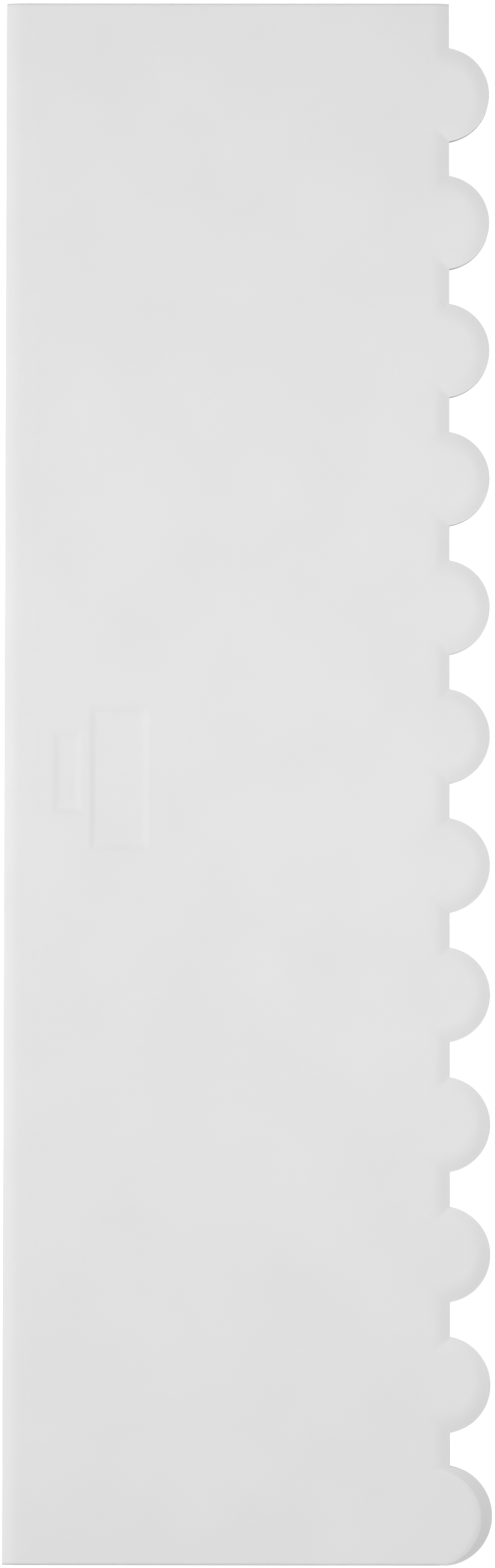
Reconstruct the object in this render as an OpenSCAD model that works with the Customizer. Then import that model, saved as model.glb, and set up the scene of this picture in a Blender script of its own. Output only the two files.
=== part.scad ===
// Icing smoother: one flat moulding with a straight edge along one side and a row of round
// lobes along the other. It lies on its back, front face up, centred over its own base.
// X runs from the straight edge to the lobes, Y from the foot end to the head end.

/* [Blade] */
// Length from the foot end to the head end
blade_length = 254; // [150:1:400]
// Width from the straight edge to the lands between the lobes
blade_width = 72.4; // [50:0.1:120]
// Thickness of the flat middle
blade_thickness = 2; // [1.6:0.1:4]

/* [Scalloped edge] */
// Distance from each lobe's centre to the next
lobe_pitch = 21; // [18:0.5:40]
// Radius of a lobe
lobe_radius = 7.75; // [5:0.05:8.5]
// How far the lobes' centres lie inside the line of the lands
lobe_inset = 1.2; // [0.4:0.1:2.5]
// Radius of the last lobe, which runs into the foot end
foot_lobe_radius = 8; // [5:0.05:8.5]
// Shortest land that is left between the top lobe and the head end
least_head_land = 5; // [2:0.5:20]

/* [Edges] */
// Thickness left at the rim of both long edges
rim_thickness = 1.4; // [0.8:0.05:1.5]
// Width of the steep outer facet of the bevel
outer_facet_width = 1.2; // [0.5:0.1:1.5]
// Drop of that facet
outer_facet_drop = 0.42; // [0.2:0.01:0.5]
// Width of the gentle inner facet, up to the flat face
inner_facet_width = 1.5; // [0.5:0.1:2]
// Chamfer along the foot end and the head end
end_chamfer = 0.35; // [0.1:0.05:0.6]

/* [Foot lobe relief] */
// Widest part of the crescent that is bevelled off the foot lobe
relief_width = 1.85; // [1.2:0.05:2.5]
// Sideways shift of the crescent's inner circle against the lobe
relief_shift = 1.6; // [0.8:0.1:2]
// Direction of the widest part, upwards from straight out
relief_direction = 15; // [0:1:40]
// Slope of the crescent against the face
relief_slope = 30; // [15:1:35]

/* [Sunken panels] */
// Width and length of the large panel
panel_size = [9.9, 23.7];
// Width and length of the small panel
small_panel_size = [4.9, 13.8];
// Distance from the straight edge to the small panel
panel_offset = 7.8; // [5:0.1:20]
// Gap between the two panels
panel_gap = 1; // [0.5:0.1:5]
// How far the small panel's middle lies above the blade's
small_panel_rise = 1; // [-10:0.5:10]
// Depth of both panels
panel_depth = 0.2; // [0.1:0.05:0.4]
// Width of the sloping walls round a panel
panel_wall = 1.2; // [0.3:0.1:2]

/* [Hidden] */
$fn = 96;
// Overshoot of the cutting shapes
over = 1;

bevel_width = outer_facet_width + inner_facet_width;
shoulder_height = rim_thickness + outer_facet_drop;
lobe_x = blade_width - lobe_inset;
overall_width = lobe_x + max(foot_lobe_radius, lobe_radius);

// As many lobes as leave the head its land, counted from the foot lobe upwards
lobe_room = blade_length - foot_lobe_radius - lobe_radius - least_head_land;
last_lobe = floor(lobe_room / lobe_pitch);
function lobe_y(i) = foot_lobe_radius + i * lobe_pitch;

// Section through a bevelled rim: x is the distance inside the rim, y the height
module rim_section(inside) {
    polygon([
        [0, 0], [0, rim_thickness], [outer_facet_width, shoulder_height],
        [bevel_width, blade_thickness], [inside, blade_thickness], [inside, 0]
    ]);
}

// Strip with a bevelled rim on the Y axis, reaching inwards along +X
module rim_strip(inside, from_y, to_y) {
    translate([0, to_y, 0]) rotate([90, 0, 0]) linear_extrude(to_y - from_y) rim_section(inside);
}

module plate() {
    rim_strip(blade_width / 2, 0, blade_length);
    translate([blade_width, 0, 0]) mirror([1, 0, 0])
        rim_strip(blade_width / 2 + over, lobe_y(0), blade_length);
    translate([blade_width / 2 - over, 0, 0])
        cube([lobe_x - blade_width / 2 + over, lobe_y(0) + over, blade_thickness]);
}

module lobe() {
    rotate_extrude() polygon([
        [0, 0], [0, blade_thickness], [lobe_radius - bevel_width, blade_thickness],
        [lobe_radius - outer_facet_width, shoulder_height], [lobe_radius, rim_thickness],
        [lobe_radius, 0]
    ]);
}

// The foot lobe is relieved by a cone that stands off its centre, which leaves a crescent
module foot_lobe() {
    inner_radius = foot_lobe_radius + relief_shift - relief_width;
    intersection() {
        cylinder(h = blade_thickness, r = foot_lobe_radius);
        rotate(relief_direction) translate([-relief_shift, 0, 0])
            cylinder(h = blade_thickness,
                r1 = inner_radius + blade_thickness / tan(relief_slope), r2 = inner_radius);
    }
}

module end_chamfer_cut() {
    translate([-over, 0, blade_thickness]) rotate([0, 90, 0])
        linear_extrude(overall_width + 2 * over)
            polygon([
                [end_chamfer, -over], [end_chamfer, 0], [0, end_chamfer],
                [-over, end_chamfer], [-over, -over]
            ]);
}

module tapered_channel(width, length) {
    rotate([90, 0, 0]) linear_extrude(length, center = true) polygon([
        [-width / 2 + panel_wall, 0], [width / 2 - panel_wall, 0],
        [width / 2, panel_depth], [width / 2, panel_depth + over],
        [-width / 2, panel_depth + over], [-width / 2, panel_depth]
    ]);
}

// A pocket whose four walls slope, made where two tapered channels cross
module panel_cut(size) {
    translate([0, 0, blade_thickness - panel_depth]) intersection() {
        tapered_channel(size[0], size[1] + over);
        rotate(90) tapered_channel(size[1], size[0] + over);
    }
}

module smoother_blade() {
    panel_x = panel_offset + small_panel_size[0] + panel_gap + panel_size[0] / 2;
    color("whitesmoke") translate([-overall_width / 2, -blade_length / 2, 0]) difference() {
        union() {
            plate();
            translate([lobe_x, lobe_y(0), 0]) foot_lobe();
            for (i = [1 : last_lobe]) translate([lobe_x, lobe_y(i), 0]) lobe();
        }
        end_chamfer_cut();
        translate([0, blade_length, 0]) mirror([0, 1, 0]) end_chamfer_cut();
        translate([panel_x, blade_length / 2, 0]) panel_cut(panel_size);
        translate([panel_offset + small_panel_size[0] / 2, blade_length / 2 + small_panel_rise, 0])
            panel_cut(small_panel_size);
    }
}

smoother_blade();
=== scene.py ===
import math

import bpy
import numpy as np
from mathutils import Matrix, Vector


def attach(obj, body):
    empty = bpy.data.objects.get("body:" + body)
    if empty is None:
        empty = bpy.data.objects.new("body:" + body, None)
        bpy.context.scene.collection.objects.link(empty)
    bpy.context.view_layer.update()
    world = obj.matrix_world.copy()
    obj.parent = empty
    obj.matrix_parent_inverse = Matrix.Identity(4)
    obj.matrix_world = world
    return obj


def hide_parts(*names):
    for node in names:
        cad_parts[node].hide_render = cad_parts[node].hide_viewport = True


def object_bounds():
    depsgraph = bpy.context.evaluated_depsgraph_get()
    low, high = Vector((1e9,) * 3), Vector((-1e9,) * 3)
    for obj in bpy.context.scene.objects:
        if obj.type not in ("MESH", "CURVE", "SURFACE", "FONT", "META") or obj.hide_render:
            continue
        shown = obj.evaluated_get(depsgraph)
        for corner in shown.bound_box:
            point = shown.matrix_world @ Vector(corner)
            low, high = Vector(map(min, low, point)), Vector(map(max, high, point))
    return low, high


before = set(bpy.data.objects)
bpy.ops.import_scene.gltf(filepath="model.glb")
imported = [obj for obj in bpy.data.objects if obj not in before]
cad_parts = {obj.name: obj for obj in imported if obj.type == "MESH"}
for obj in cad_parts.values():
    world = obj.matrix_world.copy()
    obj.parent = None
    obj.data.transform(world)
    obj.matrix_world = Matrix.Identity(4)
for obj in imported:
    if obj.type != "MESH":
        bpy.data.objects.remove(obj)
cad_low, cad_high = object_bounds()
MM = 0.001

# The blade's box, in mm, from the CAD model
LEFT = cad_low.x / MM
FOOT = cad_low.y / MM
HEAD = cad_high.y / MM
TOP = cad_high.z / MM
MIDDLE_Y = (FOOT + HEAD) / 2

# Scalloped outline, in mm, with the values of the CAD source. Lobe 0 runs into the foot end.
BLADE_WIDTH = 72.4
LOBE_INSET = 1.2
LOBE_PITCH = 21.0
LOBE_COUNT = 12
LOBE_RADIUS = 7.75
FOOT_LOBE_RADIUS = 8.0
LAND_X = LEFT + BLADE_WIDTH
LOBE_X = LAND_X - LOBE_INSET
FIRST_LOBE_Y = FOOT + FOOT_LOBE_RADIUS

# Bevels, in mm: how far they drop at the rim, and how far they reach inwards
STRAIGHT_DROP = 0.6
STRAIGHT_BEVEL = 2.7
LOBE_DROP = 0.36
LOBE_FLAT = 1.2
LOBE_BEVEL = 2.9

# Crescent on the foot lobe: a cone that stands off the lobe's centre
CRESCENT_WIDTH = 1.85
CRESCENT_SHIFT = 1.6
CRESCENT_ANGLE = math.radians(15)
CRESCENT_SLOPE = math.tan(math.radians(23))
CRESCENT_RADIUS = FOOT_LOBE_RADIUS + CRESCENT_SHIFT - CRESCENT_WIDTH
CRESCENT_X = LOBE_X - CRESCENT_SHIFT * math.cos(CRESCENT_ANGLE)
CRESCENT_Y = FIRST_LOBE_Y - CRESCENT_SHIFT * math.sin(CRESCENT_ANGLE)

# Rounded edge of both ends. A full quarter round would be 1 and end upright.
END_ROUND = 0.45
END_ROUND_SHARE = 0.96

# Sunken panels, in mm, each as centre X, centre Y, width and length
PANEL_DEPTH = 0.2
PANEL_WALL = 1.2
PANEL_OFFSET = 7.8
PANEL_GAP = 1.0
PANEL_WIDTH, PANEL_LENGTH = 9.9, 23.7
SMALL_WIDTH, SMALL_LENGTH = 4.9, 13.8
SMALL_RISE = 1.0
PANELS = [
    (LEFT + PANEL_OFFSET + SMALL_WIDTH + PANEL_GAP + PANEL_WIDTH / 2, MIDDLE_Y, PANEL_WIDTH, PANEL_LENGTH),
    (LEFT + PANEL_OFFSET + SMALL_WIDTH / 2, MIDDLE_Y + SMALL_RISE, SMALL_WIDTH, SMALL_LENGTH),
]

# Mesh density: steps along Y on an arc or land, and columns along X in each zone
END_ROWS = (0, 0.05, 0.15, 0.3, 0.5, 0.75, 1)
FOOT_ARC_STEPS = 120
ARC_STEPS = 60
LAND_STEPS = 20
HEAD_LAND_STEPS = 25
LEAST_ROW_STEP = 1e-4
STRAIGHT_BEVEL_STEPS = 12
PANEL_ZONE = (LEFT + 6, LEFT + 27, 57)
PLAIN_ZONE = (LEFT + 30, LOBE_X - 11.6, 8)
SCALLOP_ZONE_X = LOBE_X - 7.6
SCALLOP_ZONE_COLUMNS = 12
RIM_BEVEL_COLUMNS = 17
LEAST_BEVEL = 0.02
CRESCENT_END = 0.5

# Slack for points on a rim, and the drop where a shape is absent
TOUCH = 0.001
ABSENT = 10.0


def lobe_y(i):
    return FIRST_LOBE_Y + i * LOBE_PITCH


def lobe_radius(i):
    return FOOT_LOBE_RADIUS if i == 0 else LOBE_RADIUS


def root_angle(radius):
    """Angle at which a lobe's circle meets the line of the lands, from straight out."""
    return math.acos(LOBE_INSET / radius)


def straight_drop(inside):
    """Drop of a bevel whose slope fades evenly to nothing at its inner end."""
    t = np.clip(1 - inside / STRAIGHT_BEVEL, 0, 1)
    return STRAIGHT_DROP * t ** 2


def rolled_drop(inside):
    """Drop of a bevel that starts as a flat facet and then rolls into the face."""
    roll = LOBE_BEVEL - LOBE_FLAT
    slope = LOBE_DROP / (LOBE_FLAT + roll / 2)
    t = np.clip(LOBE_BEVEL - inside, 0, roll)
    facet = np.clip(LOBE_FLAT - inside, 0, LOBE_FLAT)
    return slope * (t ** 2 / (2 * roll) + facet)


def end_drop(inside):
    """Small round along the foot end and the head end."""
    t = np.clip(END_ROUND - inside, 0, END_ROUND)
    return END_ROUND - np.sqrt(END_ROUND ** 2 - t ** 2 * END_ROUND_SHARE)


def panel_drop(x, y):
    """Depth of the sunken panels, whose walls ease in and out."""
    total = np.zeros_like(x)
    for centre_x, centre_y, width, length in PANELS:
        inside = np.minimum(width / 2 - abs(x - centre_x), length / 2 - abs(y - centre_y))
        t = np.clip(inside / PANEL_WALL, 0, 1)
        total += PANEL_DEPTH * t ** 2 * (3 - 2 * t)
    return total


def drop_at(x, y):
    """How far the front face lies below the blade's full thickness at each point."""
    drop = np.where(x <= LAND_X + TOUCH, rolled_drop(LAND_X - x), ABSENT)
    for i in range(1, LOBE_COUNT):
        reach = np.hypot(x - LOBE_X, y - lobe_y(i))
        lobe = np.where(reach <= LOBE_RADIUS + TOUCH, rolled_drop(LOBE_RADIUS - reach), ABSENT)
        drop = np.minimum(drop, lobe)
    past_crescent = np.hypot(x - CRESCENT_X, y - CRESCENT_Y) - CRESCENT_RADIUS
    crescent = CRESCENT_SLOPE * np.clip(past_crescent, 0, None)
    in_foot_lobe = np.hypot(x - LOBE_X, y - FIRST_LOBE_Y) <= FOOT_LOBE_RADIUS + TOUCH
    drop = np.where(in_foot_lobe, np.minimum(drop, crescent), drop)
    drop = np.where((y < FIRST_LOBE_Y) & (x <= LOBE_X), 0, drop)
    drop = np.maximum(drop, straight_drop(x - LEFT))
    drop = drop + end_drop(HEAD - y)
    drop = drop + np.where(x <= LOBE_X, end_drop(y - FOOT), 0)
    return drop + panel_drop(x, y)


def rim_x(y):
    """The scalloped rim: the land line, or a lobe's circle where that reaches further."""
    rim = LAND_X
    for i in range(LOBE_COUNT):
        radius = lobe_radius(i)
        dy = y - lobe_y(i)
        if abs(dy) <= radius:
            reach = LOBE_X + math.sqrt(max(radius ** 2 - dy ** 2, 0))
            rim = reach if i == 0 and dy < 0 else max(rim, reach)
    return rim


def shoulder_x(y):
    """Where the bevel behind the scalloped rim ends and the flat face begins."""
    shoulder = LAND_X - LOBE_BEVEL
    for i in range(1, LOBE_COUNT):
        dy = y - lobe_y(i)
        radius = LOBE_RADIUS - LOBE_BEVEL
        if abs(dy) < radius:
            shoulder = max(shoulder, LOBE_X + math.sqrt(radius ** 2 - dy ** 2))
    dy = y - CRESCENT_Y
    if abs(dy) < CRESCENT_RADIUS and y < FIRST_LOBE_Y + FOOT_LOBE_RADIUS - CRESCENT_END:
        shoulder = max(shoulder, CRESCENT_X + math.sqrt(CRESCENT_RADIUS ** 2 - dy ** 2))
    return min(shoulder, rim_x(y) - LEAST_BEVEL)


def row_heights():
    """Y of each row of the mesh: even steps along the lobes' arcs, lands and ends between."""
    rows = [FOOT + END_ROUND * s for s in END_ROWS]
    for i in range(LOBE_COUNT):
        radius = lobe_radius(i)
        steps = FOOT_ARC_STEPS if i == 0 else ARC_STEPS
        end = root_angle(radius)
        start = -math.pi / 2 if i == 0 else -end
        for s in range(steps + 1):
            angle = start + (end - start) * s / steps
            rows.append(lobe_y(i) + radius * math.sin(angle))
        if i < LOBE_COUNT - 1:
            low = rows[-1]
            high = lobe_y(i + 1) - LOBE_RADIUS * math.sin(root_angle(LOBE_RADIUS))
            rows += [low + (high - low) * s / LAND_STEPS for s in range(1, LAND_STEPS)]
    last = rows[-1]
    head_land = HEAD - END_ROUND - last
    rows += [last + head_land * s / HEAD_LAND_STEPS for s in range(1, HEAD_LAND_STEPS + 1)]
    rows += [HEAD - END_ROUND * s for s in END_ROWS]
    rows = sorted(rows)
    return [rows[0]] + [b for a, b in zip(rows, rows[1:]) if b - a > LEAST_ROW_STEP]


def row_stations(y):
    """X of each vertex in a row: close together on the bevels and round the panels."""
    shoulder = shoulder_x(y)
    steps = STRAIGHT_BEVEL_STEPS
    left = [LEFT + STRAIGHT_BEVEL * (s / steps) for s in range(steps + 1)]
    middle = list(np.linspace(*PANEL_ZONE)) + list(np.linspace(*PLAIN_ZONE))
    near = list(np.linspace(SCALLOP_ZONE_X, shoulder, SCALLOP_ZONE_COLUMNS))
    bevel = list(np.linspace(shoulder, rim_x(y), RIM_BEVEL_COLUMNS))[1:]
    return left + middle + near + bevel


def make_blade():
    """The front is a grid of rows. The back is plain strips, and a wall runs round the rim."""
    ys = row_heights()
    xs = np.array([row_stations(y) for y in ys])
    grid_y = np.repeat(np.array(ys)[:, None], xs.shape[1], axis=1)
    front = np.stack([xs, grid_y, TOP - drop_at(xs, grid_y)], -1).reshape(-1, 3)
    index = np.arange(len(front)).reshape(xs.shape)
    quads = np.stack([index[:-1, :-1], index[:-1, 1:], index[1:, 1:], index[1:, :-1]], -1)
    faces = quads.reshape(-1, 4).tolist()

    loop = np.concatenate([index[0, :-1], index[:-1, -1], index[-1, :0:-1], index[:0:-1, 0]])
    back = front[loop] * (1, 1, 0)
    below = {int(v): len(front) + k for k, v in enumerate(loop)}
    for a, b in zip(loop, np.roll(loop, -1)):
        faces.append([int(a), below[int(a)], below[int(b)], int(b)])
    strips = len(ys) - 1
    for r in range(strips):
        near = index[r, :] if r == 0 else index[r, [0, -1]]
        far = index[r + 1, :] if r == strips - 1 else index[r + 1, [0, -1]]
        faces.append([below[int(v)] for v in near[::-1]] + [below[int(v)] for v in far])

    mesh = bpy.data.meshes.new("blade")
    mesh.from_pydata((np.concatenate([front, back]) * MM).tolist(), [], faces)
    mesh.shade_smooth()
    mesh.set_sharp_from_angle(angle=math.radians(35))
    return bpy.data.objects.new("blade", mesh)


def new_material(name):
    """A new material, with its nodes, its links and its shader."""
    material = bpy.data.materials.new(name)
    material.use_nodes = True
    tree = material.node_tree
    return material, tree.nodes, tree.links, tree.nodes["Principled BSDF"]


def set_inputs(node, values):
    for name, value in values.items():
        node.inputs[name].default_value = value


def white_plastic():
    """Fine matte moulded plastic, with a slight grain and slight cloudiness."""
    material, nodes, links, shader = new_material("white_plastic")
    set_inputs(shader, {"Roughness": 0.5})
    place = nodes.new("ShaderNodeTexCoord")
    grain = nodes.new("ShaderNodeTexNoise")
    set_inputs(grain, {"Scale": 2200, "Detail": 2})
    cloud = nodes.new("ShaderNodeTexNoise")
    set_inputs(cloud, {"Scale": 60})
    tint = nodes.new("ShaderNodeMapRange")
    set_inputs(tint, {"From Min": 0.3, "From Max": 0.7, "To Min": 0.79, "To Max": 0.81})
    bump = nodes.new("ShaderNodeBump")
    set_inputs(bump, {"Strength": 0.35, "Distance": 0.04 * MM})
    links.new(place.outputs["Object"], grain.inputs["Vector"])
    links.new(place.outputs["Object"], cloud.inputs["Vector"])
    links.new(cloud.outputs["Fac"], tint.inputs["Value"])
    links.new(tint.outputs["Result"], shader.inputs["Base Color"])
    links.new(grain.outputs["Fac"], bump.inputs["Height"])
    links.new(bump.outputs["Normal"], shader.inputs["Normal"])
    return material


def white_floor():
    """Matte white that the camera sees a little brighter than it is lit."""
    material, nodes, links, shader = new_material("floor")
    set_inputs(shader, {
        "Base Color": (0.9, 0.9, 0.9, 1),
        "Roughness": 1,
        "Specular IOR Level": 0,
        "Emission Color": (1, 1, 1, 1),
    })
    path = nodes.new("ShaderNodeLightPath")
    lift = nodes.new("ShaderNodeMath")
    lift.operation = "MULTIPLY"
    lift.inputs[1].default_value = 0.65
    links.new(path.outputs["Is Camera Ray"], lift.inputs[0])
    links.new(lift.outputs["Value"], shader.inputs["Emission Strength"])
    return material


def make_floor(half, below):
    """A square floor, that far from its middle to its sides and that far below the blade."""
    mesh = bpy.data.meshes.new("floor")
    corners = [(-half, -half, 0), (half, -half, 0), (half, half, 0), (-half, half, 0)]
    mesh.from_pydata(corners, [], [(0, 1, 2, 3)])
    floor = bpy.data.objects.new("floor", mesh)
    floor.location.z = -below
    floor.data.materials.append(white_floor())
    return floor


def area_light(name, watts, size, place, target):
    """A soft rectangular lamp at one place, in metres, that faces another."""
    light = bpy.data.lights.new(name, "AREA")
    light.energy = watts
    light.shape = "RECTANGLE"
    light.size, light.size_y = size
    obj = bpy.data.objects.new(name, light)
    obj.location = place
    obj.rotation_mode = "QUATERNION"
    obj.rotation_quaternion = (Vector(target) - Vector(place)).to_track_quat("-Z", "Y")
    bpy.context.scene.collection.objects.link(obj)
    return obj


def make_world(strength):
    """A plain white world of that strength, which the camera sees at full white."""
    world = bpy.data.worlds.new("studio")
    bpy.context.scene.world = world
    world.use_nodes = True
    nodes, links = world.node_tree.nodes, world.node_tree.links
    background = nodes["Background"]
    path = nodes.new("ShaderNodeLightPath")
    seen = nodes.new("ShaderNodeMapRange")
    set_inputs(seen, {"To Min": strength, "To Max": 1.0})
    set_inputs(background, {"Color": (1, 1, 1, 1)})
    links.new(path.outputs["Is Camera Ray"], seen.inputs["Value"])
    links.new(seen.outputs["Result"], background.inputs["Strength"])


def make_camera(place, tilt, roll, pitch, lens):
    """A camera at a place in mm, looking down, turned by three small angles in degrees."""
    data = bpy.data.cameras.new("camera")
    data.sensor_width = 36
    data.lens = lens
    data.clip_start = 0.01
    data.clip_end = 10
    camera = bpy.data.objects.new("camera", data)
    turn = Matrix.Identity(3)
    for degrees, axis in ((roll, "Z"), (tilt, "Y"), (pitch, "X")):
        turn = turn @ Matrix.Rotation(math.radians(degrees), 3, axis)
    camera.matrix_world = Matrix.Translation(Vector(place) * MM) @ turn.transposed().to_4x4()
    bpy.context.scene.collection.objects.link(camera)
    bpy.context.scene.camera = camera


blade = make_blade()
blade.data.materials.append(white_plastic())
bpy.context.scene.collection.objects.link(blade)
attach(blade, "root")
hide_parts("smoother_blade")

floor = make_floor(half=2.0, below=0.3 * MM)
bpy.context.scene.collection.objects.link(floor)

# The key hangs over the scalloped side, the fills stand beyond both ends, and the panel on the
# left brightens the straight bevel.
area_light("key", watts=1.05, size=(0.3, 0.25), place=(0.08, 0.02, 0.5), target=(0.05, 0, 0))
for name, y in (("foot_fill", -0.55), ("head_fill", 0.55)):
    area_light(name, watts=0.3, size=(0.5, 0.3), place=(0.05, y, 0.42), target=(0, 0, 0))
area_light("left_panel", watts=3.2, size=(0.35, 0.8), place=(-0.62, 0, 0.5), target=(0, 0, 0))
make_world(strength=0.22)

# The photo looks down on the front face from about 0.9 m, a few degrees off square.
make_camera(place=(1.03, -44.6, 890.4), tilt=-0.07, roll=-0.06, pitch=-2.82, lens=125.78)
bpy.context.scene.view_settings.view_transform = "Standard"
